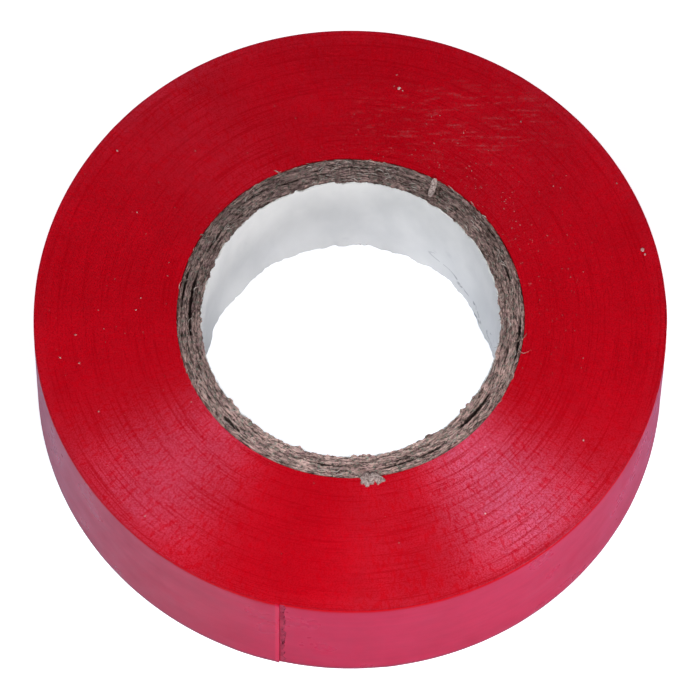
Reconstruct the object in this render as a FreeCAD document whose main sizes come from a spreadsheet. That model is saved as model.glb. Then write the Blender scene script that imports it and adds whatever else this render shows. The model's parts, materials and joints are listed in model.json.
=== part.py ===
import FreeCAD, Part
import math
import os
import Sketcher

# Electrical tape roll, lying on its side face.
# The origin is on the bore axis at the lower face, and +Z runs up along the bore.
# Lengths are in millimetres and angles in degrees.

# Every size that can be set by itself.
SIZES = {
    "tape_width": 19.0,
    "roll_diameter": 76.5,
    "bore_diameter": 36.0,
    "liner_thickness": 0.3,
    "ply_thickness": 0.54,
    "film_thickness": 0.13,
    "adhesive_thickness": 0.03,
    "tail_length": 13.0,
    "peel_gap": 0.02,
    "cut_angle": 257.2,
}
PLY_COUNT = 5

# What follows from those sizes, as cells of the same sheet.
# The tape spirals outwards anticlockwise, and one turn adds its thickness to the radius.
# The first half of a turn is an arc about a centre a quarter of the thickness to one side of
# the axis, and the second half is about a centre as far to the other side, so they run on smoothly.
DERIVED = {
    "bore_radius": "=bore_diameter / 2",
    "ply_0_radius": "=bore_radius + liner_thickness",
    "tape_thickness": "=film_thickness + adhesive_thickness",
    "centre_shift": "=tape_thickness / 4",
    "tail_angle": "=tail_length / outside_second * 180 / pi",
    "turn_end_angle": "=(tail_length + peel_gap) / outside_second * 180 / pi",
    "tail_root_slope": "=180 - tail_angle",
    "turn_end_slope": "=180 - turn_end_angle",
}
for ply in range(1, PLY_COUNT + 1):
    DERIVED["ply_%d_radius" % ply] = "=ply_%d_radius + ply_thickness" % (ply - 1)
# The tape's faces, each as far below its outside as the depth says, on both halves and on the tail.
DEPTHS = {"outside": "0", "film_back": "film_thickness", "wound_face": "tape_thickness"}
for face, depth in DEPTHS.items():
    DERIVED[face + "_first"] = "=roll_diameter / 2 - 3 * centre_shift - " + depth
    DERIVED[face + "_second"] = "=roll_diameter / 2 - centre_shift - " + depth
    DERIVED[face + "_tail"] = "=roll_diameter / 2 - centre_shift + peel_gap - " + depth

UP = FreeCAD.Vector(0, 0, 1)
AXIS_POINT = FreeCAD.Vector(0, 0, 0)
START, END, CENTRE = 1, 2, 3
ORIGIN = (-1, 1)
X_AXIS = -1

os.makedirs("parts", exist_ok=True)
doc = FreeCAD.newDocument("electrical_tape_roll")


def fill_sheet():
    sheet = doc.addObject("Spreadsheet::Sheet", "Sizes")
    cells = [(name, str(value)) for name, value in SIZES.items()] + list(DERIVED.items())
    for row, (name, text) in enumerate(cells, start=1):
        sheet.set("A%d" % row, name)
        sheet.setAlias("B%d" % row, name)
    for row, (name, text) in enumerate(cells, start=1):
        sheet.set("B%d" % row, text)
    doc.recompute()
    return sheet


sheet = fill_sheet()


def new_body(label):
    body = doc.addObject("PartDesign::Body", label)
    body.Label = label
    return body


def new_tape_body(label):
    """A body whose local +X axis points at the tape's cut end."""
    body = new_body(label)
    body.Placement = FreeCAD.Placement(AXIS_POINT, FreeCAD.Rotation(UP, SIZES["cut_angle"]))
    body.setExpression("Placement.Rotation.Angle", "Sizes.cut_angle * 1 deg")
    return body


def new_sketch(body):
    sketch = body.newObject("Sketcher::SketchObject", body.Label + "_outline")
    floor = next(plane for plane in body.Origin.OriginFeatures if plane.Role == "XY_Plane")
    sketch.AttachmentSupport = (floor, [""])
    sketch.MapMode = "FlatFace"
    return sketch


def pad_full_width(body, sketch):
    pad = body.newObject("PartDesign::Pad", body.Label + "_pad")
    pad.Profile = sketch
    pad.setExpression("Length", "Sizes.tape_width")
    body.Tip = pad


def size_bound(sketch, kind, cell, *where):
    """Adds a constraint of this kind whose value follows a cell of the sheet."""
    index = sketch.addConstraint(Sketcher.Constraint(kind, *where, getattr(sheet, cell)))
    sketch.setExpression("Constraints[%d]" % index, "Sizes." + cell)


def angle_bound(sketch, line, cell):
    radians = math.radians(getattr(sheet, cell))
    index = sketch.addConstraint(Sketcher.Constraint("Angle", line, radians))
    sketch.setExpression("Constraints[%d]" % index, "Sizes." + cell + " * 1 deg")


def add_circle(sketch, cell):
    circle = sketch.addGeometry(Part.Circle(AXIS_POINT, UP, getattr(sheet, cell)))
    sketch.addConstraint(Sketcher.Constraint("Coincident", circle, CENTRE, *ORIGIN))
    size_bound(sketch, "Radius", cell, circle)


def add_arc(sketch, shift_sign, cell, start_angle, end_angle):
    """An arc whose centre lies on the local X axis, a centre_shift to one side of the origin."""
    centre = FreeCAD.Vector(shift_sign * sheet.centre_shift, 0, 0)
    whole = Part.Circle(centre, UP, getattr(sheet, cell))
    arc = sketch.addGeometry(Part.ArcOfCircle(whole, math.radians(start_angle), math.radians(end_angle)))
    sketch.addConstraint(Sketcher.Constraint("PointOnObject", arc, CENTRE, X_AXIS))
    ends = (*ORIGIN, arc, CENTRE) if shift_sign > 0 else (arc, CENTRE, *ORIGIN)
    size_bound(sketch, "DistanceX", "centre_shift", *ends)
    return arc


def add_turn(sketch, face, turn_end):
    """One turn of a face of the tape: the first half from local +X, then the second up to turn_end."""
    first = add_arc(sketch, -1, face + "_first", 0, 180)
    second = add_arc(sketch, 1, face + "_second", 180, turn_end)
    size_bound(sketch, "Radius", face + "_first", first)
    sketch.addConstraint(Sketcher.Constraint("PointOnObject", first, START, X_AXIS))
    sketch.addConstraint(Sketcher.Constraint("PointOnObject", first, END, X_AXIS))
    sketch.addConstraint(Sketcher.Constraint("Coincident", first, END, second, START))
    return first, second


def join(sketch, first_arc, first_end, second_arc, second_end):
    """A straight line from one arc's end to another's."""
    from_point = sketch.getPoint(first_arc, first_end)
    to_point = sketch.getPoint(second_arc, second_end)
    line = sketch.addGeometry(Part.LineSegment(from_point, to_point))
    sketch.addConstraint(Sketcher.Constraint("Coincident", line, START, first_arc, first_end))
    sketch.addConstraint(Sketcher.Constraint("Coincident", line, END, second_arc, second_end))
    return line


def make_tube(label, inner_cell, outer_cell):
    """A layer of the core: a tube about the bore axis, as long as the tape is wide."""
    body = new_body(label)
    sketch = new_sketch(body)
    add_circle(sketch, outer_cell)
    add_circle(sketch, inner_cell)
    pad_full_width(body, sketch)
    return body


def make_winding(label):
    """All the turns under the last one, with the small step where the last one starts."""
    body = new_tape_body(label)
    sketch = new_sketch(body)
    first, second = add_turn(sketch, "wound_face", 360)
    sketch.addConstraint(Sketcher.Constraint("PointOnObject", second, END, X_AXIS))
    join(sketch, second, END, first, START)
    add_circle(sketch, "ply_%d_radius" % PLY_COUNT)
    pad_full_width(body, sketch)
    return body


def make_last_turn(label, outer_face, inner_face):
    """One layer of the last turn, from its start at the step to the root of the tail."""
    body = new_tape_body(label)
    sketch = new_sketch(body)
    turn_end = 360 - sheet.turn_end_angle
    outer_first, outer_second = add_turn(sketch, outer_face, turn_end)
    inner_first, inner_second = add_turn(sketch, inner_face, turn_end)
    join(sketch, outer_first, START, inner_first, START)
    end_line = join(sketch, outer_second, END, inner_second, END)
    sketch.addConstraint(Sketcher.Constraint("PointOnObject", outer_second, CENTRE, end_line))
    angle_bound(sketch, end_line, "turn_end_slope")
    pad_full_width(body, sketch)
    return body


def make_tail(label, outer_face, inner_face):
    """One layer of the free tail, from its root to the cut end."""
    body = new_tape_body(label)
    sketch = new_sketch(body)
    arcs = []
    for face in (outer_face, inner_face):
        arc = add_arc(sketch, 1, face + "_tail", 360 - sheet.tail_angle, 360)
        size_bound(sketch, "Radius", face + "_tail", arc)
        sketch.addConstraint(Sketcher.Constraint("PointOnObject", arc, END, X_AXIS))
        arcs.append(arc)
    outer, inner = arcs
    join(sketch, outer, END, inner, END)
    root_line = join(sketch, outer, START, inner, START)
    sketch.addConstraint(Sketcher.Constraint("PointOnObject", outer, CENTRE, root_line))
    angle_bound(sketch, root_line, "tail_root_slope")
    pad_full_width(body, sketch)
    return body


bodies = [make_tube("core_liner", "bore_radius", "ply_0_radius")]
for ply in range(1, PLY_COUNT + 1):
    bodies.append(make_tube("core_ply_%d" % ply, "ply_%d_radius" % (ply - 1), "ply_%d_radius" % ply))
bodies.append(make_winding("tape_winding"))
bodies.append(make_last_turn("last_turn_film", "outside", "film_back"))
bodies.append(make_last_turn("last_turn_adhesive", "film_back", "wound_face"))
bodies.append(make_tail("tail_film", "outside", "film_back"))
bodies.append(make_tail("tail_adhesive", "film_back", "wound_face"))

doc.recompute()
for item in doc.Objects:
    if "Invalid" in item.State or "Error" in item.State:
        raise RuntimeError(item.Label + " did not recompute")
for body in bodies:
    if body.Shape.isNull() or not body.Shape.isValid():
        raise RuntimeError(body.Label + " has no valid shape")
    body.Shape.exportStep("parts/%s.step" % body.Label)
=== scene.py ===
import json
import math
import random

import bpy
from mathutils import Matrix, Vector, noise


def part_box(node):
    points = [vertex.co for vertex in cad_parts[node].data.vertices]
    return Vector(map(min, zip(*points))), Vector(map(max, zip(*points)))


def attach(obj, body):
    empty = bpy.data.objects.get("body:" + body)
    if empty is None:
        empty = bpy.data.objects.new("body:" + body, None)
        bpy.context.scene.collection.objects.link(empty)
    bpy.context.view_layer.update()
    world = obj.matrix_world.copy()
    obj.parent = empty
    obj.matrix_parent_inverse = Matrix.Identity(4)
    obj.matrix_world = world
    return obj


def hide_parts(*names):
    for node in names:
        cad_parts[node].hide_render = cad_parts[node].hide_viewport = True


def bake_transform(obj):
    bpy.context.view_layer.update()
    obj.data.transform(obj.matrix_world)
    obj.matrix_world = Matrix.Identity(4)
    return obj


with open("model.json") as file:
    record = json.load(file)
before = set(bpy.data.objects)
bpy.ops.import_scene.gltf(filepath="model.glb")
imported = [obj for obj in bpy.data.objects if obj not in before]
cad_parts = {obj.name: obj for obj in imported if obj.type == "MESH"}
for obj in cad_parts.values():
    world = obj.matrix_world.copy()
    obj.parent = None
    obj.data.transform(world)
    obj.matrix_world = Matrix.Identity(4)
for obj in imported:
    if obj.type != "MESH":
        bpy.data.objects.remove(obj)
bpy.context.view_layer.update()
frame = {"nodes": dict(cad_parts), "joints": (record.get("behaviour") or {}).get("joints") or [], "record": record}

record = frame["record"]

# ---------------------------------------------------------------- sizes, from the frame
MM = 0.001
TURN_ANGLE = 2 * math.pi

bore = next(mount for mount in record["mounts"] if mount["name"] == "core_bore")
BORE_RADIUS = bore["dims"]["r_mm"] * MM
WIDTH = bore["dims"]["length_mm"] * MM
PLIES = sorted(node for node in frame["nodes"] if node.startswith("core_ply"))
PLY_RADII = [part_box("core_liner")[1].x] + [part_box(ply)[1].x for ply in PLIES]
CORE_RADIUS = PLY_RADII[-1]

# The tape's two layers, from the outside of the last turn to the winding under it.
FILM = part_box("last_turn_film")[1].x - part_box("last_turn_adhesive")[1].x
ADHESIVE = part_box("last_turn_adhesive")[1].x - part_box("tape_winding")[1].x
TAPE = FILM + ADHESIVE

# Angles are counted anticlockwise from the tape's cut end, which the model is turned to at the end.
tail_low, tail_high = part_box("tail_film")
CUT_DIRECTION = math.atan2(tail_low.y, tail_high.x)
peel_joint = frame["joints"][0]
PEEL_LINE = Vector(peel_joint["pos_m"])
TAIL_ANGLE = CUT_DIRECTION - math.atan2(PEEL_LINE.y, PEEL_LINE.x)
ROLL_RADIUS = PEEL_LINE.xy.length + TAPE * TAIL_ANGLE / TURN_ANGLE
WOUND_RADIUS = ROLL_RADIUS - TAPE

# ---------------------------------------------------------------- detail of the making
# How many steps a turn of the tape is made in, how many of them are the tail's and into how many finer ones
# each of those is divided, how many turns a band of the winding has, and the steps round the core and the liner.
TURN_STEPS = 384
STEP_ANGLE = TURN_ANGLE / TURN_STEPS
TAIL_STEPS = 27
TAIL_FINENESS = 4
BAND_TURNS = 27
CORE_STEPS = 1080
LINER_STEPS = 540
# A whole turn that stops just short of closing on itself, so that a spiral's two ends stay apart.
OPEN_TURN = TURN_ANGLE * 0.9999

# The far side of the core, darkened with painted shade; the side of the liner whose creases are drawn as painted
# shade lines; and the middle of the patch on the upper face that has been rubbed pale.
SHADED_SIDE = (-0.2, 0.98, 0)
CREASED_SIDE = (0.82, 0.57, 0)
RUBBED_PATCH = (13 * MM, 26 * MM, WIDTH)
# The crumbs that lie on the upper face: across, up and size, in millimetres.
CRUMBS = [
    (5.9, 30.4, 0.16), (5.6, 32.2, 0.08), (35.3, 9.0, 0.22), (32.3, 17.8, 0.09),
    (20.7, 26.0, 0.09), (-28.4, 21.9, 0.10), (-18.9, 21.9, 0.07), (-25.9, 13.7, 0.09),
    (-23.3, 17.7, 0.06), (-22.1, 5.3, 0.08), (-25.9, 0.8, 0.08), (-25.3, 2.4, 0.06),
    (-33.1, -2.5, 0.13), (-29.7, -1.7, 0.07), (-34.9, -5.5, 0.09), (-32.6, -6.2, 0.12),
    (-30.2, -12.5, 0.07), (-19.1, -11.2, 0.08), (-24.5, -26.0, 0.09), (16.1, -25.5, 0.10),
    (27.9, -16.0, 0.09), (5.8, -29.3, 0.07), (35.6, 8.4, 0.10), (6.3, 30.1, 0.09),
    (5.3, 30.7, 0.07),
]
# The clump of torn board beside the core: the same, for each of its lumps.
CLUMP = [
    (1.75, -21.35, 0.42), (2.15, -21.05, 0.36), (2.6, -21.15, 0.40), (3.1, -21.0, 0.42), (3.55, -21.15, 0.34),
    (2.0, -21.75, 0.34), (2.5, -21.6, 0.30), (1.45, -21.05, 0.28), (3.3, -21.45, 0.28), (3.95, -21.3, 0.22),
    (2.9, -20.7, 0.34), (1.9, -20.7, 0.30), (1.4, -21.6, 0.22),
]

# ---------------------------------------------------------------- camera, light and floor
CAMERA_DISTANCE = 26 * ROLL_RADIUS
CAMERA_ELEVATION = math.radians(66.55)
CAMERA_PITCH = math.radians(66.78)
CAMERA_ROLL = math.radians(1.05)
CAMERA_AZIMUTH = math.radians(-0.9)
CAMERA_LENS = 424.5


def place_camera():
    data = bpy.data.cameras.new("camera")
    camera = bpy.data.objects.new("camera", data)
    bpy.context.scene.collection.objects.link(camera)
    data.sensor_width = 36
    data.lens = CAMERA_LENS
    data.clip_start = 0.05
    data.clip_end = 50
    away = CAMERA_DISTANCE * math.cos(CAMERA_ELEVATION)
    up = WIDTH + CAMERA_DISTANCE * math.sin(CAMERA_ELEVATION)
    tilt = Matrix.Rotation(math.pi / 2 - CAMERA_PITCH, 4, "X")
    roll = Matrix.Rotation(CAMERA_ROLL, 4, "Z")
    swing = Matrix.Rotation(CAMERA_AZIMUTH, 4, "Z")
    camera.matrix_world = swing @ Matrix.Translation((0, -away, up)) @ tilt @ roll
    bpy.context.scene.camera = camera


def add_softbox(name, place, aim, size, watts, colour, shines=True):
    """An area light that faces aim. One that doesn't shine isn't mirrored in glossy surfaces."""
    data = bpy.data.lights.new(name, "AREA")
    data.shape = "RECTANGLE"
    data.size, data.size_y = size
    data.energy = watts
    data.color = colour
    light = bpy.data.objects.new(name, data)
    bpy.context.scene.collection.objects.link(light)
    light.location = place
    light.visible_glossy = shines
    light.rotation_euler = (Vector(aim) - Vector(place)).to_track_quat("-Z", "Y").to_euler()


def light_the_studio():
    top = (0, 0, WIDTH)
    add_softbox("key", (0.03, -0.165, 0.175), top, (0.06, 0.06), 0.29, (1.0, 0.985, 0.97), shines=False)
    add_softbox("side", (0.45, -0.32, 0.10), top, (0.3, 0.16), 1.35, (1.0, 0.98, 0.99), shines=False)
    add_softbox("sheen_right", (0.31, 0.01, 0.95), top, (0.19, 0.19), 1.4, (0.94, 0.97, 1.0))
    add_softbox("sheen_left", (-0.35, 0.05, 0.94), top, (0.22, 0.22), 0.75, (0.94, 0.97, 1.0))
    add_softbox("fill_left", (-0.5, -0.15, 0.45), top, (0.3, 0.3), 1.55, (0.86, 0.93, 1.0), shines=False)
    world = bpy.data.worlds.new("studio")
    bpy.context.scene.world = world
    world.use_nodes = True
    background = world.node_tree.nodes["Background"]
    background.inputs["Color"].default_value = (0.95, 0.97, 1.0, 1)
    background.inputs["Strength"].default_value = 0.16
    world.cycles_visibility.glossy = False
    bpy.context.scene.view_settings.view_transform = "Standard"


# ---------------------------------------------------------------- materials
def value_or_link(tree, socket, given):
    if isinstance(given, bpy.types.NodeSocket):
        tree.links.new(given, socket)
    else:
        socket.default_value = given


def add_node(tree, kind, *given, **settings):
    """A node of this kind; what is given goes into its inputs in their order, None leaves one as it is."""
    node = tree.nodes.new("ShaderNode" + kind)
    for key, setting in settings.items():
        setattr(node, key, setting)
    for socket, value in zip(node.inputs, given):
        if value is not None:
            value_or_link(tree, socket, value)
    return node


def maths(tree, operation, *given):
    return add_node(tree, "Math", *given, operation=operation).outputs[0]


def ramp(tree, amount, low, high):
    """0 at low and beyond, 1 at high and beyond, and smooth between them. Either may be the greater."""
    node = add_node(tree, "MapRange", amount, low, high, interpolation_type="SMOOTHSTEP")
    return node.outputs[0]


def mix_colours(tree, share, first, second):
    node = tree.nodes.new("ShaderNodeMix")
    node.data_type = "RGBA"
    value_or_link(tree, node.inputs["Factor"], share)
    value_or_link(tree, node.inputs["A"], first)
    value_or_link(tree, node.inputs["B"], second)
    return next(socket for socket in node.outputs if socket.type == "RGBA")


def stained(tree, under, stain, where, most):
    """The colour under, stained: where goes from 0 to 1, and at 1 the stain covers as much as most says."""
    return mix_colours(tree, maths(tree, "MULTIPLY", where, most), under, stain)


def painted(tree, name):
    """What a piece's vertices hold under this name."""
    return add_node(tree, "Attribute", attribute_name=name).outputs["Fac"]


def grain(tree, place, size, detail, roughness):
    """Noise from 0 to 1 at this place, with features of this size."""
    node = add_node(tree, "TexNoise", None, None, 1 / size, detail, roughness)
    tree.links.new(place, node.inputs["Vector"])
    return node.outputs["Fac"]


def veins(tree, pattern, outside, inside):
    """Thin lines where the pattern passes its middle: 1 up to inside away from it, and 0 past outside."""
    off_middle = maths(tree, "ABSOLUTE", maths(tree, "SUBTRACT", pattern, 0.5))
    return ramp(tree, off_middle, outside, inside)


def round_the_axis(tree):
    """Where a point is about the bore axis: its place, its unit direction, its radius and its height."""
    place = add_node(tree, "TexCoord").outputs["Object"]
    split = add_node(tree, "SeparateXYZ", place)
    across = add_node(tree, "CombineXYZ", split.outputs["X"], split.outputs["Y"], 0.0).outputs[0]
    direction = add_node(tree, "VectorMath", across, operation="NORMALIZE").outputs[0]
    radius = add_node(tree, "VectorMath", across, operation="LENGTH").outputs["Value"]
    return place, direction, radius, split.outputs["Z"]


def wrapped(tree, direction, round_scale, along, along_scale):
    """A place that runs smoothly round the axis. The scales say how fine a pattern on it is, round and along."""
    spread = add_node(tree, "VectorMath", direction, operation="SCALE")
    spread.inputs["Scale"].default_value = round_scale
    lengthwise = maths(tree, "MULTIPLY", along, along_scale)
    third = add_node(tree, "CombineXYZ", 0.0, 0.0, lengthwise).outputs[0]
    return add_node(tree, "VectorMath", spread.outputs[0], third, operation="ADD").outputs[0]


def bump(tree, height, distance, strength, under=None):
    node = tree.nodes.new("ShaderNodeBump")
    node.inputs["Strength"].default_value = strength
    node.inputs["Distance"].default_value = distance
    tree.links.new(height, node.inputs["Height"])
    if under is not None:
        tree.links.new(under, node.inputs["Normal"])
    return node.outputs["Normal"]


def leant(tree, normal, direction, amount):
    """The normal, leant outwards from the bore axis."""
    lean = add_node(tree, "VectorMath", direction, operation="SCALE")
    lean.inputs["Scale"].default_value = amount
    leaning = add_node(tree, "VectorMath", normal, lean.outputs[0], operation="ADD").outputs[0]
    return add_node(tree, "VectorMath", leaning, operation="NORMALIZE").outputs[0]


def new_material(name, **sockets):
    material = bpy.data.materials.new(name)
    material.use_nodes = True
    shader = material.node_tree.nodes["Principled BSDF"]
    for socket, value in sockets.items():
        shader.inputs[socket.replace("_", " ")].default_value = value
    return material, material.node_tree, shader


def rub_marks(tree, place):
    """Where the upper face is scuffed, from 0 to 1: a patch of short scratches, broken into specks."""
    stretched = add_node(tree, "Mapping", place)
    stretched.inputs["Scale"].default_value = (260, 1900, 1900)
    scratches = grain(tree, stretched.outputs[0], 1.0, 4.0, 0.8)
    specks = grain(tree, place, 0.16 * MM, 2.0, 0.7)
    away = add_node(tree, "VectorMath", place, RUBBED_PATCH, operation="SUBTRACT").outputs[0]
    away = add_node(tree, "VectorMath", away, (0.6, 1.4, 1.0), operation="MULTIPLY").outputs[0]
    away = add_node(tree, "VectorMath", away, operation="LENGTH").outputs["Value"]
    rubbed = maths(tree, "MULTIPLY_ADD", ramp(tree, away, 11 * MM, 3 * MM), 0.9, 0.04)
    marks = maths(tree, "MULTIPLY", ramp(tree, scratches, 0.50, 0.70), rubbed)
    return maths(tree, "MULTIPLY", marks, ramp(tree, specks, 0.38, 0.62))


def winding_side():
    """The slit edges of the stacked turns: satin vinyl that shines across its grooves, as a record does."""
    material, tree, shader = new_material("winding_side", Roughness=0.3, IOR=1.5, Anisotropic=0.9)
    shader.inputs["Specular Tint"].default_value = (0.70, 0.54, 0.95, 1)
    place, direction, radius, _ = round_the_axis(tree)
    tree.links.new(direction, shader.inputs["Tangent"])
    turns = grain(tree, wrapped(tree, direction, 1.2, radius, 1 / TAPE), 1.0, 2.0, 0.6)
    groups = grain(tree, wrapped(tree, direction, 3.0, radius, 0.55 / TAPE), 1.0, 2.0, 0.6)
    streaks = grain(tree, wrapped(tree, direction, 75, radius, 900), 1.0, 2.0, 0.6)
    pores = grain(tree, place, 0.20 * MM, 1.0, 0.6)
    clouds = grain(tree, place, 9 * MM, 3.0, 0.6)

    deep = (0.50, 0.0004, 0.0060, 1)
    bright = (0.57, 0.0006, 0.0076, 1)
    groove_red = (0.38, 0.0003, 0.005, 1)
    pore_red = (0.34, 0.0003, 0.005, 1)
    scuffed_pink = (0.46, 0.17, 0.19, 1)
    line = maths(tree, "ADD", maths(tree, "MULTIPLY", turns, 0.35), maths(tree, "MULTIPLY", groups, 0.65))
    lined = ramp(tree, line, 0.48, 0.41)
    red = mix_colours(tree, ramp(tree, clouds, 0.3, 0.7), deep, bright)
    red = stained(tree, red, groove_red, lined, 0.42)
    red = stained(tree, red, pore_red, ramp(tree, pores, 0.50, 0.36), 0.35)
    red = stained(tree, red, scuffed_pink, rub_marks(tree, place), 0.5)
    tree.links.new(red, shader.inputs["Base Color"])

    near_rim = ramp(tree, radius, WOUND_RADIUS - 2.2 * MM, WOUND_RADIUS - 0.6 * MM)
    tree.links.new(maths(tree, "MULTIPLY_ADD", near_rim, 0.10, 0.29), shader.inputs["Roughness"])
    shine = maths(tree, "MULTIPLY_ADD", ramp(tree, pores, 0.38, 0.62), 0.65, 0.48)
    unstreaked = maths(tree, "MULTIPLY_ADD", ramp(tree, streaks, 0.36, 0.48), 0.6, 0.4)
    shine = maths(tree, "MULTIPLY", shine, unstreaked)
    shine = maths(tree, "MULTIPLY", shine, maths(tree, "MULTIPLY_ADD", lined, -0.6, 1.0))
    tree.links.new(shine, shader.inputs["Specular IOR Level"])
    normal = bump(tree, streaks, 0.02 * MM, 0.3)
    normal = bump(tree, turns, 0.01 * MM, 0.3, normal)
    normal = bump(tree, pores, 0.008 * MM, 0.5, normal)
    tree.links.new(leant(tree, normal, direction, 0.14), shader.inputs["Normal"])
    return material


def tape_film():
    """The film's smooth outside: glossy calendered vinyl with faint lengthwise bands, a painted highlight along
    its top rim and on the curled cut end, and painted shade along its foot.
    """
    material, tree, shader = new_material("tape_film", Roughness=0.3, IOR=1.45)
    place, direction, _, height = round_the_axis(tree)
    bands = grain(tree, wrapped(tree, direction, 1.5, height, 900), 1.0, 3.0, 0.6)
    lumps = grain(tree, wrapped(tree, direction, 9, height, 160), 1.0, 2.0, 0.5)
    peel = grain(tree, place, 0.35 * MM, 2.0, 0.6)
    stains = grain(tree, wrapped(tree, direction, 6, height, 170), 1.0, 3.0, 0.6)

    deep = (0.44, 0.0024, 0.034, 1)
    bright = (0.48, 0.0034, 0.038, 1)
    handled_red = (0.34, 0.007, 0.030, 1)
    painted_rim_highlight = (0.52, 0.001, 0.006, 1)
    painted_lip_light_and_shade = (0.62, 0.005, 0.046, 1)
    painted_foot_shade = (0.18, 0.03, 0.05, 1)
    top_rim = ramp(tree, height, WIDTH - 0.9 * MM, WIDTH - 0.2 * MM)
    foot = ramp(tree, height, 0.9 * MM, 0.1 * MM)
    red = mix_colours(tree, ramp(tree, bands, 0.3, 0.7), deep, bright)
    red = stained(tree, red, handled_red, ramp(tree, stains, 0.42, 0.75), 0.35)
    # Painted highlight: a brighter, more saturated red along the film's top rim, where light comes through its
    # edge.
    red = mix_colours(tree, top_rim, red, painted_rim_highlight)
    # Painted highlight: the curled cut end of the film is painted a brighter red.
    red = stained(tree, red, painted_lip_light_and_shade, ramp(tree, painted(tree, "lip"), 0.0, 0.4), 0.9)
    # Painted shade: a grey band along the film's lowest millimetre, where the roll meets the floor.
    red = stained(tree, red, painted_foot_shade, foot, 0.7)
    tree.links.new(red, shader.inputs["Base Color"])
    tree.links.new(maths(tree, "MULTIPLY_ADD", top_rim, -0.15, 0.18), shader.inputs["Specular IOR Level"])

    rough = maths(tree, "MULTIPLY_ADD", stains, 0.25, 0.18)
    tree.links.new(maths(tree, "MULTIPLY_ADD", top_rim, 0.4, rough), shader.inputs["Roughness"])
    normal = bump(tree, lumps, 0.02 * MM, 0.5)
    normal = bump(tree, bands, 0.01 * MM, 0.5, normal)
    normal = bump(tree, peel, 0.003 * MM, 0.5, normal)
    tree.links.new(normal, shader.inputs["Normal"])
    return material


def tape_adhesive():
    """The tacky underside: darker and purplish, unevenly dulled by what has stuck to it, with painted shade at the
    cut end under the curled lip.
    """
    material, tree, shader = new_material("tape_adhesive", Roughness=0.4, IOR=1.45)
    shader.inputs["Specular IOR Level"].default_value = 0.10
    place = add_node(tree, "TexCoord").outputs["Object"]
    ooze = grain(tree, place, 0.9 * MM, 4.0, 0.65)
    spots = grain(tree, place, 1.3 * MM, 2.0, 0.6)

    clean = (0.28, 0.012, 0.036, 1)
    dulled = (0.46, 0.045, 0.090, 1)
    spot_red = (0.24, 0.005, 0.026, 1)
    painted_lip_light_and_shade = (0.36, 0.002, 0.030, 1)
    red = mix_colours(tree, ramp(tree, ooze, 0.38, 0.62), clean, dulled)
    red = stained(tree, red, spot_red, ramp(tree, spots, 0.52, 0.60), 0.7)
    # Painted shade: the adhesive at the cut end, under the curled lip, is painted a darker crimson.
    red = mix_colours(tree, ramp(tree, painted(tree, "lip"), 0.7, 0.95), red, painted_lip_light_and_shade)
    tree.links.new(red, shader.inputs["Base Color"])
    tree.links.new(maths(tree, "MULTIPLY_ADD", ooze, 0.4, 0.25), shader.inputs["Roughness"])
    tree.links.new(bump(tree, ooze, 0.02 * MM, 0.5), shader.inputs["Normal"])
    return material


def core_board():
    """Recycled board, torn across: fibres that lie round the core, dark pits and coloured flecks, with painted
    shade at the edges of its splits and over its far side.
    """
    material, tree, shader = new_material("core_board", Roughness=0.95, IOR=1.4)
    place, direction, radius, height = round_the_axis(tree)
    fibres = grain(tree, wrapped(tree, direction, 10, radius, 2600), 1.0, 4.0, 0.65)
    strands = grain(tree, wrapped(tree, direction, 22, radius, 5200), 1.0, 3.0, 0.65)
    seams = grain(tree, wrapped(tree, direction, 9, radius, 2600), 1.0, 3.0, 0.6)
    wall_fibres = grain(tree, wrapped(tree, direction, 45, height, 3000), 1.0, 4.0, 0.7)
    mottle = grain(tree, place, 1.6 * MM, 3.0, 0.6)
    flecks = grain(tree, place, 0.35 * MM, 2.0, 0.5)

    pit = (0.050, 0.026, 0.021, 1)
    fibre = (0.68, 0.475, 0.430, 1)
    mottled_brown = (0.20, 0.125, 0.115, 1)
    greenish = (0.25, 0.31, 0.25, 1)
    pinkish = (0.44, 0.25, 0.27, 1)
    seam_dark = (0.035, 0.022, 0.020, 1)
    painted_split_shade = (0.030, 0.018, 0.015, 1)
    painted_side_shade = (0.05, 0.027, 0.022, 1)
    tone = maths(tree, "MULTIPLY_ADD", strands, 0.6, maths(tree, "MULTIPLY", fibres, 0.4))
    tone = maths(tree, "MULTIPLY_ADD", wall_fibres, 0.15, tone)
    facing_shaded_side = add_node(tree, "VectorMath", direction, SHADED_SIDE, operation="DOT_PRODUCT").outputs["Value"]
    brown = mix_colours(tree, ramp(tree, tone, 0.44, 0.63), pit, fibre)
    brown = stained(tree, brown, mottled_brown, ramp(tree, mottle, 0.42, 0.68), 0.5)
    brown = stained(tree, brown, greenish, ramp(tree, flecks, 0.58, 0.64), 0.7)
    brown = stained(tree, brown, pinkish, ramp(tree, flecks, 0.42, 0.36), 0.6)
    brown = stained(tree, brown, seam_dark, veins(tree, seams, 0.034, 0.010), 0.8)
    # Painted shade: the board is darkened at the edges of its splits, more where they gape wider.
    brown = stained(tree, brown, painted_split_shade, ramp(tree, painted(tree, "gape"), 0.1, 0.8), 0.85)
    # Painted shade: the far side of the core is darkened, and the near side left lighter.
    brown = stained(tree, brown, painted_side_shade, ramp(tree, facing_shaded_side, -0.7, 0.6), 0.36)
    tree.links.new(brown, shader.inputs["Base Color"])
    normal = bump(tree, fibres, 0.25 * MM, 0.9)
    normal = bump(tree, strands, 0.1 * MM, 0.9, normal)
    tree.links.new(leant(tree, normal, direction, 0.7), shader.inputs["Normal"])
    return material


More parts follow.
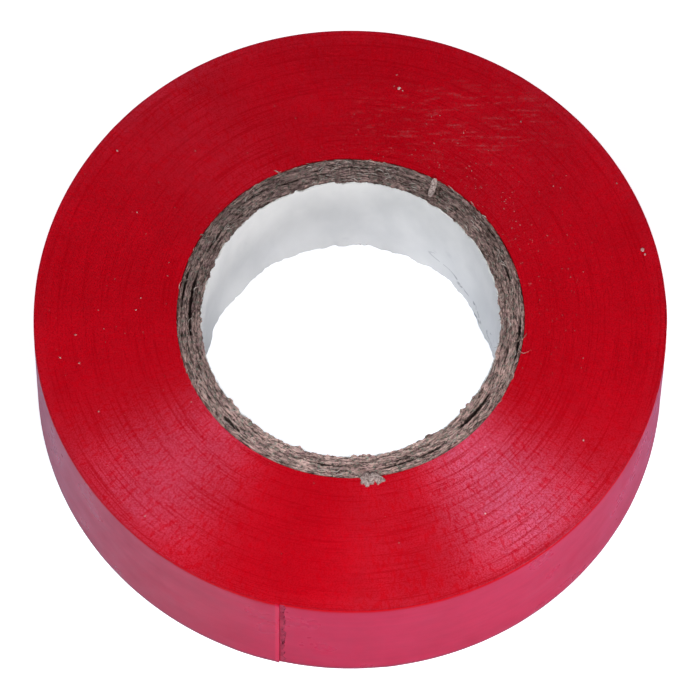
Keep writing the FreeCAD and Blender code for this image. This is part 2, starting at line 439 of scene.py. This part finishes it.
def liner_paper():
    """Smooth white paper with soft cockles, whose hollows are painted darker and crowns lighter as shade and
    light, and a few long creases low on one side, drawn as painted shade lines.
    """
    material, tree, shader = new_material("liner_paper", Roughness=0.75, IOR=1.45)
    place, direction, _, height = round_the_axis(tree)
    cockle = grain(tree, wrapped(tree, direction, 3, height, 90), 1.0, 3.0, 0.55)
    pulp = grain(tree, place, 0.16 * MM, 3.0, 0.6)
    smudge = grain(tree, wrapped(tree, direction, 5, height, 200), 1.0, 4.0, 0.7)
    folds = grain(tree, wrapped(tree, direction, 1.1, height, 200), 1.0, 2.0, 0.5)
    broken = grain(tree, place, 1.1 * MM, 2.0, 0.6)

    painted_hollow_shade_white = (0.71, 0.71, 0.70, 1)
    painted_crown_light_white = (0.80, 0.795, 0.78, 1)
    smudge_grey = (0.54, 0.54, 0.56, 1)
    painted_crease_shade = (0.20, 0.20, 0.22, 1)
    facing = add_node(tree, "VectorMath", direction, CREASED_SIDE, operation="DOT_PRODUCT").outputs["Value"]
    creased = maths(tree, "MULTIPLY", ramp(tree, height, 6 * MM, 3 * MM), ramp(tree, facing, 0.86, 0.96))
    # Painted shade: thin dark lines, low on the creased side, stand for the shade in the liner's creases.
    crease = maths(tree, "MULTIPLY", veins(tree, folds, 0.016, 0.003), ramp(tree, broken, 0.44, 0.52))
    crease = maths(tree, "MULTIPLY", crease, creased)
    # Painted shade and light: the cockles' hollows are painted darker and their crowns lighter.
    white = mix_colours(tree, ramp(tree, cockle, 0.3, 0.7), painted_hollow_shade_white, painted_crown_light_white)
    white = stained(tree, white, smudge_grey, ramp(tree, smudge, 0.60, 0.80), 0.3)
    white = stained(tree, white, painted_crease_shade, crease, 0.6)
    tree.links.new(white, shader.inputs["Base Color"])
    normal = bump(tree, cockle, 0.5 * MM, 0.5)
    normal = bump(tree, pulp, 0.01 * MM, 0.6, normal)
    tree.links.new(normal, shader.inputs["Normal"])
    return material


def loose_fibre():
    """Grey-brown paper fibre, paler in some places than in others."""
    material, tree, shader = new_material("loose_fibre", Roughness=0.9, IOR=1.4)
    place = add_node(tree, "TexCoord").outputs["Object"]
    kinds = grain(tree, place, 2.5 * MM, 2.0, 0.6)
    grey = mix_colours(tree, ramp(tree, kinds, 0.35, 0.65), (0.19, 0.14, 0.12, 1), (0.46, 0.40, 0.37, 1))
    tree.links.new(grey, shader.inputs["Base Color"])
    return material


def torn_board():
    """The pale inside of board that has been torn open: fluffy, pinkish grey."""
    material, tree, shader = new_material("torn_board", Roughness=0.95, IOR=1.4)
    place = add_node(tree, "TexCoord").outputs["Object"]
    fluff = grain(tree, place, 0.22 * MM, 4.0, 0.7)
    pale = mix_colours(tree, ramp(tree, fluff, 0.36, 0.60), (0.20, 0.135, 0.125, 1), (0.54, 0.43, 0.40, 1))
    tree.links.new(pale, shader.inputs["Base Color"])
    tree.links.new(bump(tree, fluff, 0.15 * MM, 0.9), shader.inputs["Normal"])
    return material


def paper_dust():
    """Crumbs of board, pinkish, paler in some places than in others."""
    material, tree, shader = new_material("paper_dust", Roughness=0.9, IOR=1.4)
    place = add_node(tree, "TexCoord").outputs["Object"]
    kinds = grain(tree, place, 1.5 * MM, 1.0, 0.5)
    pale = mix_colours(tree, ramp(tree, kinds, 0.35, 0.65), (0.44, 0.14, 0.14, 1), (0.54, 0.35, 0.33, 1))
    tree.links.new(pale, shader.inputs["Base Color"])
    return material


def studio_floor():
    """A white sheet that glows a little for the camera alone, so that shadows on it stay faint. What a glossy
    surface mirrors of it is tinted: bluish to the left and purplish to the right."""
    material, tree, shader = new_material("studio_floor", Roughness=0.8)
    place = add_node(tree, "TexCoord").outputs["Object"]
    tone = grain(tree, place, 0.4, 2.0, 0.5)
    white = mix_colours(tree, tone, (0.82, 0.85, 0.95, 1), (0.85, 0.88, 0.97, 1))
    across = add_node(tree, "SeparateXYZ", place).outputs["X"]
    bluish = (0.58, 0.78, 1.0, 1)
    purplish = (0.62, 0.49, 0.80, 1)
    mirrored = mix_colours(tree, ramp(tree, across, -26 * MM, -4 * MM), bluish, purplish)
    ray = add_node(tree, "LightPath").outputs
    tree.links.new(mix_colours(tree, ray["Is Glossy Ray"], white, mirrored), shader.inputs["Base Color"])
    shader.inputs["Emission Color"].default_value = (1, 1, 1, 1)
    tree.links.new(maths(tree, "MULTIPLY", ray["Is Camera Ray"], 0.68), shader.inputs["Emission Strength"])
    return material


# ---------------------------------------------------------------- ways of making
# Two coordinates closer than this are the same one.
SAME = 1e-9


def deselect_all():
    bpy.ops.object.select_all(action="DESELECT")


def choose(piece):
    """Makes this piece the only one selected, and the active one."""
    deselect_all()
    bpy.context.view_layer.objects.active = piece
    piece.select_set(True)


def edit(piece, kind="VERT"):
    choose(piece)
    bpy.ops.object.mode_set(mode="EDIT")
    bpy.ops.mesh.select_mode(type=kind)


def leave_edit():
    bpy.ops.object.mode_set(mode="OBJECT")


def pick_edges(piece, wanted):
    """Selects the edges whose two ends wanted accepts; called and left in edit mode."""
    leave_edit()
    mesh = piece.data
    for element in (*mesh.polygons, *mesh.edges, *mesh.vertices):
        element.select = False
    for edge in mesh.edges:
        edge.select = wanted(*(mesh.vertices[end].co for end in edge.vertices))
    bpy.ops.object.mode_set(mode="EDIT")


def add_section(name, inner, outer, low, high):
    """An upright rectangle from one radius to the other: what a cut through a ring shows."""
    deselect_all()
    middle = ((inner + outer) / 2, 0, (low + high) / 2)
    bpy.ops.mesh.primitive_plane_add(size=1, location=middle, rotation=(math.pi / 2, 0, 0))
    piece = bpy.context.object
    piece.name = name
    piece.data.name = name
    piece.scale = (outer - inner, high - low, 1)
    bpy.ops.object.transform_apply(location=True, rotation=True, scale=True)
    return piece


def divide_level_edges(piece, parts):
    edit(piece, "EDGE")
    pick_edges(piece, lambda a, b: abs(a.z - b.z) < SAME)
    bpy.ops.mesh.subdivide(number_cuts=parts - 1)
    leave_edit()


def divide_upright_edges(piece, parts):
    edit(piece, "EDGE")
    pick_edges(piece, lambda a, b: abs(a.x - b.x) < SAME)
    bpy.ops.mesh.subdivide(number_cuts=parts - 1)
    leave_edit()


def spin_round(piece, angle, steps):
    """Turns the open section about the bore axis, as a lathe would. Each vertex of the result is given with
    its column, counted from the section, and with the point of the section that it came from."""
    points = [vertex.co.copy() for vertex in piece.data.vertices]
    choose(piece)
    screw = piece.modifiers.new("screw", "SCREW")
    screw.angle = angle
    screw.steps = screw.render_steps = steps
    bpy.ops.object.modifier_apply(modifier=screw.name)
    found = []
    for index, vertex in enumerate(piece.data.vertices):
        column, place = divmod(index, len(points))
        found.append((vertex, column, points[place]))
    return found


def open_section(piece):
    edit(piece, "FACE")
    bpy.ops.mesh.select_all(action="SELECT")
    bpy.ops.mesh.delete(type="ONLY_FACE")
    leave_edit()


def close_up(piece):
    edit(piece)
    bpy.ops.mesh.select_all(action="SELECT")
    bpy.ops.mesh.remove_doubles(threshold=1e-6)
    bpy.ops.mesh.fill_holes(sides=0)
    bpy.ops.mesh.select_all(action="SELECT")
    bpy.ops.mesh.normals_make_consistent(inside=False)
    leave_edit()


def turn_to(piece, angle):
    """Turns a finished piece about the bore axis, and leaves its object at the origin, unturned."""
    choose(piece)
    piece.rotation_euler.z = angle
    bpy.ops.object.transform_apply(location=True, rotation=True, scale=True)


def smooth_sides(piece, sharpest):
    choose(piece)
    bpy.ops.object.shade_smooth_by_angle(angle=math.radians(sharpest), keep_sharp_edges=False)


def place_on_ring(vertex, angle, radius, height):
    vertex.co = (radius * math.cos(angle), radius * math.sin(angle), height)


def ripple(angle, round_scale, along, seed=0.0):
    """Smooth noise, about -0.7 to 0.7, that closes on itself round the axis."""
    return noise.noise((math.cos(angle) * round_scale + seed, math.sin(angle) * round_scale, along))


# ---------------------------------------------------------------- the winding
# How far inside a turn's outer edge its lines lie: the film's outer edge, its inner edge and the groove.
LINE_OFFSETS = (0.0, FILM, FILM + ADHESIVE / 2)
OUTER_EDGE, GROOVE = 0, 2
GROOVE_DEPTH = 0.022 * MM


def side_depth(turns_in, line):
    """How far below the face's plane a line of the winding lies. turns_in counts from the outside, with the
    part of a turn, and line says which of a turn's lines it is, in the order of LINE_OFFSETS."""
    angle = -TURN_ANGLE * turns_in
    own = ripple(angle, 1.3, turns_in * 1.37)
    group = ripple(angle, 1.6, turns_in * 0.31, 7.0)
    lean = 0.010 + 0.010 * ripple(angle, 2.2, turns_in * 1.9, 3.0)
    chatter = ripple(angle, 34.0, turns_in * 0.23, 11.0)
    depth = 0.030 + 0.006 * own + 0.009 * group + 0.003 * chatter
    if line == OUTER_EDGE:
        depth += lean
    depth = max(depth, 0.0) * MM
    return depth + GROOVE_DEPTH if line == GROOVE else depth


def wind_band(name, first_turn, last_turn, innermost):
    """The turns from first_turn to last_turn, counted from the outside, as one spiral on both faces."""
    count = last_turn - first_turn
    outer = WOUND_RADIUS - first_turn * TAPE
    inner = outer - count * TAPE
    piece = add_section(name, inner, outer, 0, WIDTH)
    open_section(piece)
    lines = len(LINE_OFFSETS)
    divide_level_edges(piece, count * lines)
    for vertex, column, point in spin_round(piece, OPEN_TURN, TURN_STEPS):
        angle = TURN_ANGLE * column / TURN_STEPS
        turn, line = divmod(round(lines * (outer - point.x) / TAPE), lines)
        turns_in = first_turn + turn + 1 - angle / TURN_ANGLE
        radius = WOUND_RADIUS - turns_in * TAPE - LINE_OFFSETS[line]
        if innermost and turn == count:
            # The innermost turn's inner line lies on the core all round.
            radius = 0
        depth = side_depth(turns_in, line)
        height = depth if point.z < WIDTH / 2 else WIDTH - depth
        place_on_ring(vertex, angle, max(radius, CORE_RADIUS), height)
    close_up(piece)
    return piece


# ---------------------------------------------------------------- the last turn and its tail
# The cut end: how far back it curls up and how high, how far back its lip is marked for a painted highlight on the
# film and painted shade on the adhesive, how much of it counts as the cut itself, and how far the cut wanders from
# a straight line.
CURL_REACH = 0.8 * MM
CURL_RISE = 0.07 * MM
LIP_REACH = 0.6 * MM
CUT_FACE = 0.05 * MM
CUT_WANDER = 0.035 * MM
# The soft edges of the slit film: how wide they are, and how far they fall away.
SOFT_EDGE = 0.1 * MM
SOFT_DROP = 0.018 * MM


def film_swell(angle, height):
    """How far the outermost turn stands off the turn under it, where it isn't pressed quite flat."""
    full_swell = 0.09
    loose = ripple(angle, 5.0, height / (6 * MM), 21.0) + 0.5 * ripple(angle, 16.0, height / (3 * MM), 5.0)
    return max(0.0, loose) ** 2 * full_swell * MM


def lip_lift(to_cut, height):
    """How far the cut end curls up, where to_cut is how far along the tape the end is."""
    if to_cut >= CURL_REACH:
        return 0.0
    uneven = 0.8 + 0.5 * noise.noise((height / (4 * MM), 3.0, 0.0))
    return CURL_RISE * uneven * (1 - to_cut / CURL_REACH) ** 2


def lay_strip(name, top_depth, under_depth, start, end, steps):
    """A layer of the outermost turn, from top_depth to under_depth below its outside, between two angles
    counted back from the cut end."""
    piece = add_section(name, ROLL_RADIUS - under_depth, ROLL_RADIUS - top_depth, 0, WIDTH)
    open_section(piece)
    divide_upright_edges(piece, 24)
    middle = ROLL_RADIUS - (top_depth + under_depth) / 2
    half = (under_depth - top_depth) / 2
    made = spin_round(piece, end - start, steps)
    # The lip marks the last stretch before the cut: painted highlight on the film, painted shade on the adhesive.
    lip = piece.data.attributes.new("lip", "FLOAT", "POINT")
    for vertex, column, point in made:
        angle = start + (end - start) * column / steps
        outside = point.x > middle
        height = point.z
        to_cut = -angle * ROLL_RADIUS
        lip.data[vertex.index].value = max(0.0, 1 - to_cut / LIP_REACH)
        radius = middle + (half if outside else -half) + TAPE * angle / TURN_ANGLE
        radius += film_swell(angle, height) + lip_lift(to_cut, height)
        inward = min(1.0, min(height, WIDTH - height) / SOFT_EDGE)
        if outside:
            radius -= SOFT_DROP * (1 - inward)
        if to_cut < CUT_FACE:
            angle += CUT_WANDER / ROLL_RADIUS * noise.noise((height / (0.7 * MM), 9.0, 0.0))
        place_on_ring(vertex, angle, radius, height)
    close_up(piece)
    return piece


def squeeze_out_adhesive(name):
    """The uneven line of adhesive that has crept out past the cut, on the turn below."""
    reach = 0.75 * MM / ROLL_RADIUS
    base = WOUND_RADIUS - 0.01 * MM
    section = 0.03 * MM
    margin = 0.25 * MM
    thickest, thinnest = 0.018, 0.014
    steps = 6
    piece = add_section(name, base, base + section, margin, WIDTH - margin)
    open_section(piece)
    divide_upright_edges(piece, 100)
    made = spin_round(piece, reach, steps)
    # The lip marks the bead's end at the cut, where it gets painted shade.
    lip = piece.data.attributes.new("lip", "FLOAT", "POINT")
    for vertex, column, point in made:
        share = column / steps
        lip.data[vertex.index].value = 1 - share
        angle = reach * share
        outside = point.x > base + section / 2
        height = point.z
        jag = 0.75 + 0.6 * noise.noise((height / (0.8 * MM), 2.0, 0.0))
        jag += 0.35 * noise.noise((height / (0.25 * MM), 6.0, 0.0))
        thick = thickest * (1 - share ** 2) * (0.8 + noise.noise((height / (0.5 * MM), share * 3, 4.0)))
        radius = base + film_swell(angle, height) + (max(thinnest, thick) * MM if outside else 0)
        place_on_ring(vertex, angle * max(0.12, jag), radius, height)
    close_up(piece)
    return piece


# ---------------------------------------------------------------- the core
# Where the board has split between plies: the ply inside the split, the direction of its middle from +X
# and its half length in degrees, and how wide it has opened in millimetres.
SPLITS = [
    (2, 175, 17, 0.24),
    (2, 148, 8, 0.14),
    (3, 128, 10, 0.12),
    (2, 112, 7, 0.12),
    (4, 170, 12, 0.14),
    (3, 224, 5, 0.22),
    (2, 262, 9, 0.12),
    (3, 288, 8, 0.15),
    (3, 300, 7, 0.12),
    (2, 321, 10, 0.30),
    (4, 352, 9, 0.22),
    (3, 20, 8, 0.12),
    (4, 35, 9, 0.10),
    (2, 60, 4, 0.16),
    (3, 85, 9, 0.10),
]
# The widest that any split can open, in millimetres.
WIDEST_SPLIT = 0.42
# How far down from its end a ply is torn, and the heights of its rings of vertices, closest at the torn ends.
TORN_REACH = 1.2 * MM
PLY_ROWS = (0, 0.35 * MM, TORN_REACH, WIDTH / 2, WIDTH - TORN_REACH, WIDTH - 0.35 * MM, WIDTH)
# What is added to the noise's place on the upper face, so that it isn't a copy of the lower one.
UPPER_NOISE = 50.0


def split_opening(ply, angle):
    """How far the board gapes outside this ply, here: the named splits and fine chance ones."""
    chance = ripple(angle, 7.0, ply * 5.0, 2.0) + 0.6 * ripple(angle, 30.0, ply * 3.0, 6.0)
    opening = 0.22 * max(0.0, chance - 0.12)
    for split_ply, middle, half, widest in SPLITS:
        if split_ply == ply:
            away = abs((math.degrees(angle) - middle + 180) % 360 - 180) / half
            if away < 1:
                frayed = 0.85 + 0.7 * ripple(angle, 60.0, ply)
                opening = max(opening, 1.5 * widest * (1 - away ** 2) * frayed)
    return min(opening, WIDEST_SPLIT) * MM


def board_roughness(angle, radius, ply):
    """How deep the torn board dips under its highest fibres, here."""
    fibre = ripple(angle, 34.0, radius / (0.10 * MM), 1.0)
    strand = ripple(angle, 110.0, radius / (0.07 * MM), 8.0)
    lump = ripple(angle, 9.0, radius / (0.5 * MM), 4.0)
    whole_ply = ripple(angle, 4.0, ply * 7.0, 13.0)
    return (0.22 + 0.19 * fibre + 0.15 * strand + 0.19 * lump + 0.16 * whole_ply) * MM


def ragged_overhang(angle, face):
    """How far the innermost ply's torn edge hangs over the liner, here."""
    coarse = ripple(angle, 7.0, face, 17.0)
    middling = ripple(angle, 22.0, face, 27.0)
    fine = ripple(angle, 75.0, face, 37.0)
    return (0.22 + 0.36 * coarse + 0.34 * middling + 0.13 * fine) * MM


def roll_ply(number, name):
    """One ply of the core's board, with torn ends that part from its neighbours where the board has split."""
    inner, outer = PLY_RADII[number - 1], PLY_RADII[number]
    last_row = len(PLY_ROWS) - 1
    is_outermost = number == len(PLIES)
    piece = add_section(name, inner, outer, 0, WIDTH)
    open_section(piece)
    divide_level_edges(piece, 8)
    divide_upright_edges(piece, last_row)
    made = spin_round(piece, TURN_ANGLE, CORE_STEPS)
    # How much painted shade the board gets at a split's edge here.
    gape = piece.data.attributes.new("gape", "FLOAT", "POINT")
    for vertex, column, point in made:
        angle = TURN_ANGLE * column / CORE_STEPS
        radius = point.x
        row = round(point.z / WIDTH * last_row)
        height = PLY_ROWS[row]
        to_end = min(height, WIDTH - height)
        share = (radius - inner) / (outer - inner)
        near_end = max(0.0, 1 - to_end / TORN_REACH) ** 2
        face = UPPER_NOISE if height > WIDTH / 2 else 0.0
        wave = 0.09 * MM * ripple(angle, 20.0, number * 4.0, face) * near_end
        gap_in = split_opening(number - 1, angle) if number > 1 else 0.0
        if is_outermost:
            gap_out = 0.12 * MM * (1 + 1.2 * ripple(angle, 30.0, 3.0))
        else:
            gap_out = split_opening(number, angle)
        radius += near_end * (0.5 * gap_in * (1 - share) - 0.5 * gap_out * share) + wave * (share < 0.999)
        if number == 1 and share < 0.3:
            radius -= near_end * (1 - share / 0.3) * ragged_overhang(angle, face)
        at_edge = abs(2 * share - 1) ** 4
        gap_here = gap_out if share > 0.5 and not is_outermost else gap_in * (share < 0.5)
        gape.data[vertex.index].value = min(1.0, at_edge * gap_here / (0.22 * MM))
        if row in (0, last_row):
            dip = max(0.0, board_roughness(angle + face, radius, number))
            dip += at_edge * (0.05 * MM + 1.5 * gap_here)
            height += dip if row == 0 else -dip
        place_on_ring(vertex, angle, radius, height)
    close_up(piece)
    return piece


def roll_liner(name):
    """The bore's paper liner: thin, cockled, and torn at both rims."""
    piece = add_section(name, BORE_RADIUS, PLY_RADII[0], 0, WIDTH)
    open_section(piece)
    divide_level_edges(piece, 2)
    divide_upright_edges(piece, 30)
    for vertex, column, point in spin_round(piece, TURN_ANGLE, LINER_STEPS):
        angle = TURN_ANGLE * column / LINER_STEPS
        radius, height = point.x, point.z
        inside = 1 - (radius - BORE_RADIUS) / (PLY_RADII[0] - BORE_RADIUS)
        cockle = 0.16 * ripple(angle, 2.6, height / (13 * MM), 3.0)
        cockle += 0.05 * ripple(angle, 9.0, height / (5 * MM))
        near_end = max(0.0, 1 - min(height, WIDTH - height) / (1.0 * MM))
        face = UPPER_NOISE if height > WIDTH / 2 else 0.0
        fray = 0.14 * ripple(angle, 24.0, face) + 0.08 * ripple(angle, 80.0, face + 9.0)
        low_end = max(0.0, 1 - height / (5 * MM)) ** 2
        curled = 0.30 + 0.45 * ripple(angle, 4.0, 71.0) + 0.30 * ripple(angle, 11.0, 73.0)
        radius += inside * (cockle + near_end * fray - low_end * max(0.0, curled)) * MM
        torn = 0.62 + 0.5 * ripple(angle, 12.0, face) + 0.25 * ripple(angle, 60.0, face + 5.0)
        torn = max(0.12, torn) * near_end * MM * (1.0 if face else 0.35)
        height += torn if height < WIDTH / 2 else -torn
        place_on_ring(vertex, angle, radius, height)
    close_up(piece)
    return piece


# ---------------------------------------------------------------- loose fibres and dust
def lay_copies(name, model, places):
    """Copies of a small model, each moved by its own matrix, joined into one piece."""
    deselect_all()
    copies = []
    for place in places:
        mesh = model.data.copy()
        mesh.transform(place)
        copy = bpy.data.objects.new(name, mesh)
        bpy.context.scene.collection.objects.link(copy)
        copies.append(copy)
    bpy.data.objects.remove(model)
    for copy in copies:
        copy.select_set(True)
    bpy.context.view_layer.objects.active = copies[0]
    if len(copies) > 1:
        bpy.ops.object.join()
    piece = bpy.context.object
    piece.name = name
    piece.data.name = name
    return piece


def model_fibre(curl):
    """A short bent fibre, a millimetre long, tapering to both ends."""
    half_thickness = 0.028 * MM
    deselect_all()
    bpy.ops.mesh.primitive_cylinder_add(vertices=4, radius=1, depth=1, rotation=(0, math.pi / 2, 0))
    fibre = bpy.context.object
    bpy.ops.object.transform_apply(location=True, rotation=True, scale=True)
    edit(fibre, "EDGE")
    pick_edges(fibre, lambda a, b: abs(a.x - b.x) > 0.5)
    bpy.ops.mesh.subdivide(number_cuts=5)
    leave_edit()
    for vertex in fibre.data.vertices:
        along = vertex.co.x
        thick = half_thickness * (1.05 - (2 * along) ** 2)
        vertex.co = (along * MM, vertex.co.y * thick, vertex.co.z * thick)
        vertex.co.y += curl * MM * along ** 2
        vertex.co.z += 0.25 * curl * MM * (along + 0.5) ** 2
    return fibre


def scatter_fibres(name, top, count, curl, seed):
    """Fibres that lie more or less round the core, on its upper or its lower end."""
    chance = random.Random(seed)
    sunk = 0.10 * MM
    places = []
    for _ in range(count):
        angle = chance.uniform(0, TURN_ANGLE)
        radius = chance.uniform(BORE_RADIUS + 0.1 * MM, CORE_RADIUS + 0.1 * MM)
        height = WIDTH - sunk if top else sunk
        heading = angle + math.pi / 2 + chance.gauss(0, 0.45)
        slope = chance.uniform(-0.12, 0.12)
        length = chance.uniform(0.35, 1.5)
        thick = chance.uniform(0.7, 1.2) + 1.6 * chance.random() ** 4
        place = Matrix.Translation((radius * math.cos(angle), radius * math.sin(angle), height))
        place = place @ Matrix.Rotation(heading, 4, "Z") @ Matrix.Rotation(slope, 4, "Y")
        places.append(place @ Matrix.Diagonal((length, thick, thick, 1)))
    return lay_copies(name, model_fibre(curl), places)


def model_crumb():
    """A crumb one unit in radius, uneven all round."""
    deselect_all()
    bpy.ops.mesh.primitive_ico_sphere_add(subdivisions=2, radius=1)
    crumb = bpy.context.object
    for vertex in crumb.data.vertices:
        vertex.co *= 1 + 0.5 * noise.noise(vertex.co * 1.7)
    return crumb


def scatter_dust(name, count, seed):
    """Tiny crumbs of board on the upper face, thickest close to the core and on its rubbed side."""
    chance = random.Random(seed)
    deselect_all()
    bpy.ops.mesh.primitive_ico_sphere_add(subdivisions=1, radius=1)
    crumb = bpy.context.object
    places = []
    for number in range(count):
        # Two in three lie close to the core on the rubbed side, and the rest anywhere.
        if number % 3:
            angle = math.radians(chance.gauss(48, 30))
            radius = CORE_RADIUS + 0.3 * MM + abs(chance.gauss(0, 4.5)) * MM
        else:
            angle = chance.uniform(0, TURN_ANGLE)
            radius = CORE_RADIUS + 0.4 * MM + chance.random() ** 1.5 * (WOUND_RADIUS - CORE_RADIUS - 1 * MM)
        size = (0.018 + 0.034 * chance.random() ** 2) * MM
        stretch = chance.uniform(0.8, 2.6)
        place = Matrix.Translation((radius * math.cos(angle), radius * math.sin(angle), WIDTH - 0.02 * MM))
        place = place @ Matrix.Rotation(chance.uniform(0, math.pi), 4, "Z")
        places.append(place @ Matrix.Diagonal((size * stretch, size, size * 0.8, 1)))
    return lay_copies(name, crumb, places)


def lay_crumbs(name, spots, squash, seed):
    """Crumbs on the upper face, one for each of the spots, turned and stretched by chance."""
    chance = random.Random(seed)
    places = []
    for across, up, size in spots:
        place = Matrix.Translation((across * MM, up * MM, WIDTH + (0.5 * squash * size - 0.03) * MM))
        place = place @ Matrix.Rotation(chance.uniform(0, TURN_ANGLE), 4, "Z")
        stretch = chance.uniform(1.0, 1.8)
        places.append(place @ Matrix.Diagonal((size * MM * stretch, size * MM, size * MM * squash, 1)))
    return lay_copies(name, model_crumb(), places)


def curl_flake(name):
    """A strip torn from the board that lies across the core's upper end and curls up at its tips."""
    length, width, lift, curl = 2.5, 0.72, 0.50, 3.0
    deselect_all()
    bpy.ops.mesh.primitive_plane_add(size=1)
    flake = bpy.context.object
    flake.name = name
    flake.data.name = name
    edit(flake, "EDGE")
    bpy.ops.mesh.select_all(action="SELECT")
    bpy.ops.mesh.subdivide(number_cuts=11)
    leave_edit()
    for vertex in flake.data.vertices:
        along, across = vertex.co.x, vertex.co.y
        rough = noise.noise((along * 6, across * 3, 5.0))
        wide = width * (1 - 0.5 * (2 * along) ** 4) * (1 + 0.5 * noise.noise((along * 4, 1.0, 2.0)))
        height = lift + curl * along ** 4 + 0.12 * rough
        vertex.co = (length * along, across * wide + 0.25 * along ** 2, height)
        vertex.co *= MM
    thickness = flake.modifiers.new("thickness", "SOLIDIFY")
    thickness.thickness = 0.09 * MM
    thickness.offset = 1
    bpy.ops.object.modifier_apply(modifier=thickness.name)
    angle = math.radians(59.5)
    radius = PLY_RADII[2] + 0.2 * MM
    place = Matrix.Translation((radius * math.cos(angle), radius * math.sin(angle), WIDTH - 0.10 * MM))
    flake.data.transform(place @ Matrix.Rotation(angle + 0.25, 4, "Z"))
    return flake


def curl_fibre(name):
    """One long fibre that has sprung from the core's outer edge and loops over the red."""
    angle = math.radians(-13)
    radius = CORE_RADIUS + 0.25 * MM
    place = Matrix.Translation((radius * math.cos(angle), radius * math.sin(angle), WIDTH + 0.10 * MM))
    place = place @ Matrix.Rotation(math.radians(-25), 4, "Z")
    return lay_copies(name, model_fibre(1.6), [place @ Matrix.Diagonal((1.7, 1.7, 1.9, 1))])


def finish_piece(piece, body, slot_name, *nodes, blended=False):
    if blended:
        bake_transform(piece)
    else:
        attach(piece, body)
    if nodes:
        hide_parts(*nodes)


def give(piece, *materials):
    piece.data.materials.clear()
    for material in materials:
        piece.data.materials.append(material)


def colour_faces(piece, is_second):
    """Gives the second material to the faces that is_second accepts by their middle and normal."""
    for face in piece.data.polygons:
        face.material_index = 1 if is_second(face.center, face.normal) else 0


def faces_up_or_down(middle, normal):
    return abs(normal.z) > 0.7


def is_outer_wall(middle, normal):
    return abs(normal.z) < 0.3 and middle.xy.length > WOUND_RADIUS - 1.1 * TAPE


def is_torn_rim(middle, normal):
    return abs(normal.z) > 0.4 and middle.xy.length > BORE_RADIUS + 0.16 * MM


def make_winding(side, film):
    total = math.ceil((WOUND_RADIUS - CORE_RADIUS) / TAPE)
    names = ["outer_turns", "outer_middle_turns", "inner_middle_turns", "inner_turns"]
    for name, first in zip(names, range(0, total, BAND_TURNS)):
        last = min(first + BAND_TURNS, total)
        piece = wind_band(name, first, last, last == total)
        give(piece, side, film)
        colour_faces(piece, is_outer_wall)
        smooth_sides(piece, 3)
        turn_to(piece, CUT_DIRECTION)
        finish_piece(piece, "roll", "wound_tape", "tape_winding")


def make_last_turn(side, film, adhesive):
    tail_start = -TAIL_STEPS * STEP_ANGLE
    turn_steps = TURN_STEPS - TAIL_STEPS
    tail_steps = TAIL_STEPS * TAIL_FINENESS
    layers = [
        ("film", 0.0, FILM, film, "tape_film"),
        ("adhesive", FILM, TAPE, adhesive, "tape_adhesive"),
    ]
    for layer, top, under, material, slot_name in layers:
        turn = lay_strip("last_turn_" + layer + "_strip", top, under, -TURN_ANGLE, tail_start, turn_steps)
        tail = lay_strip("tail_" + layer + "_strip", top, under, tail_start, 0.0, tail_steps)
        for piece in (turn, tail):
            give(piece, material, side)
            if layer == "film":
                colour_faces(piece, faces_up_or_down)
            smooth_sides(piece, 35)
            turn_to(piece, CUT_DIRECTION)
        finish_piece(turn, "roll", slot_name, "last_turn_" + layer)
        finish_piece(tail, "tail", slot_name, "tail_" + layer, blended=True)
    bead = squeeze_out_adhesive("adhesive_line")
    give(bead, adhesive)
    smooth_sides(bead, 20)
    turn_to(bead, CUT_DIRECTION)
    finish_piece(bead, "roll", "tape_adhesive")


def make_core(board, paper):
    for number, node in enumerate(PLIES, start=1):
        piece = roll_ply(number, node + "_board")
        give(piece, board)
        smooth_sides(piece, 60)
        finish_piece(piece, "roll", "core_board", node)
    liner = roll_liner("core_liner_paper")
    give(liner, paper, board)
    colour_faces(liner, is_torn_rim)
    smooth_sides(liner, 60)
    finish_piece(liner, "roll", "liner_paper", "core_liner")


def make_loose_bits(fibre, torn, dust):
    bits = [
        (scatter_fibres("upper_fibres", top=True, count=420, curl=0.5, seed=11), fibre),
        (scatter_fibres("lower_fibres", top=False, count=200, curl=0.4, seed=12), fibre),
        (scatter_dust("dust", count=420, seed=13), dust),
        (lay_crumbs("crumbs", CRUMBS, squash=0.6, seed=14), dust),
        (lay_crumbs("clump", CLUMP, squash=0.8, seed=15), torn),
        (curl_flake("flake"), torn),
        (curl_fibre("sprung_fibre"), fibre),
    ]
    for piece, material in bits:
        give(piece, material)
        finish_piece(piece, "roll", "core_board")


def lay_floor():
    deselect_all()
    bpy.ops.mesh.primitive_plane_add(size=6, location=(0, 0, 0))
    floor = bpy.context.object
    floor.name = "floor"
    give(floor, studio_floor())


place_camera()
light_the_studio()
lay_floor()
side_material = winding_side()
film_material = tape_film()
make_winding(side_material, film_material)
make_last_turn(side_material, film_material, tape_adhesive())
make_core(core_board(), liner_paper())
make_loose_bits(loose_fibre(), torn_board(), paper_dust())
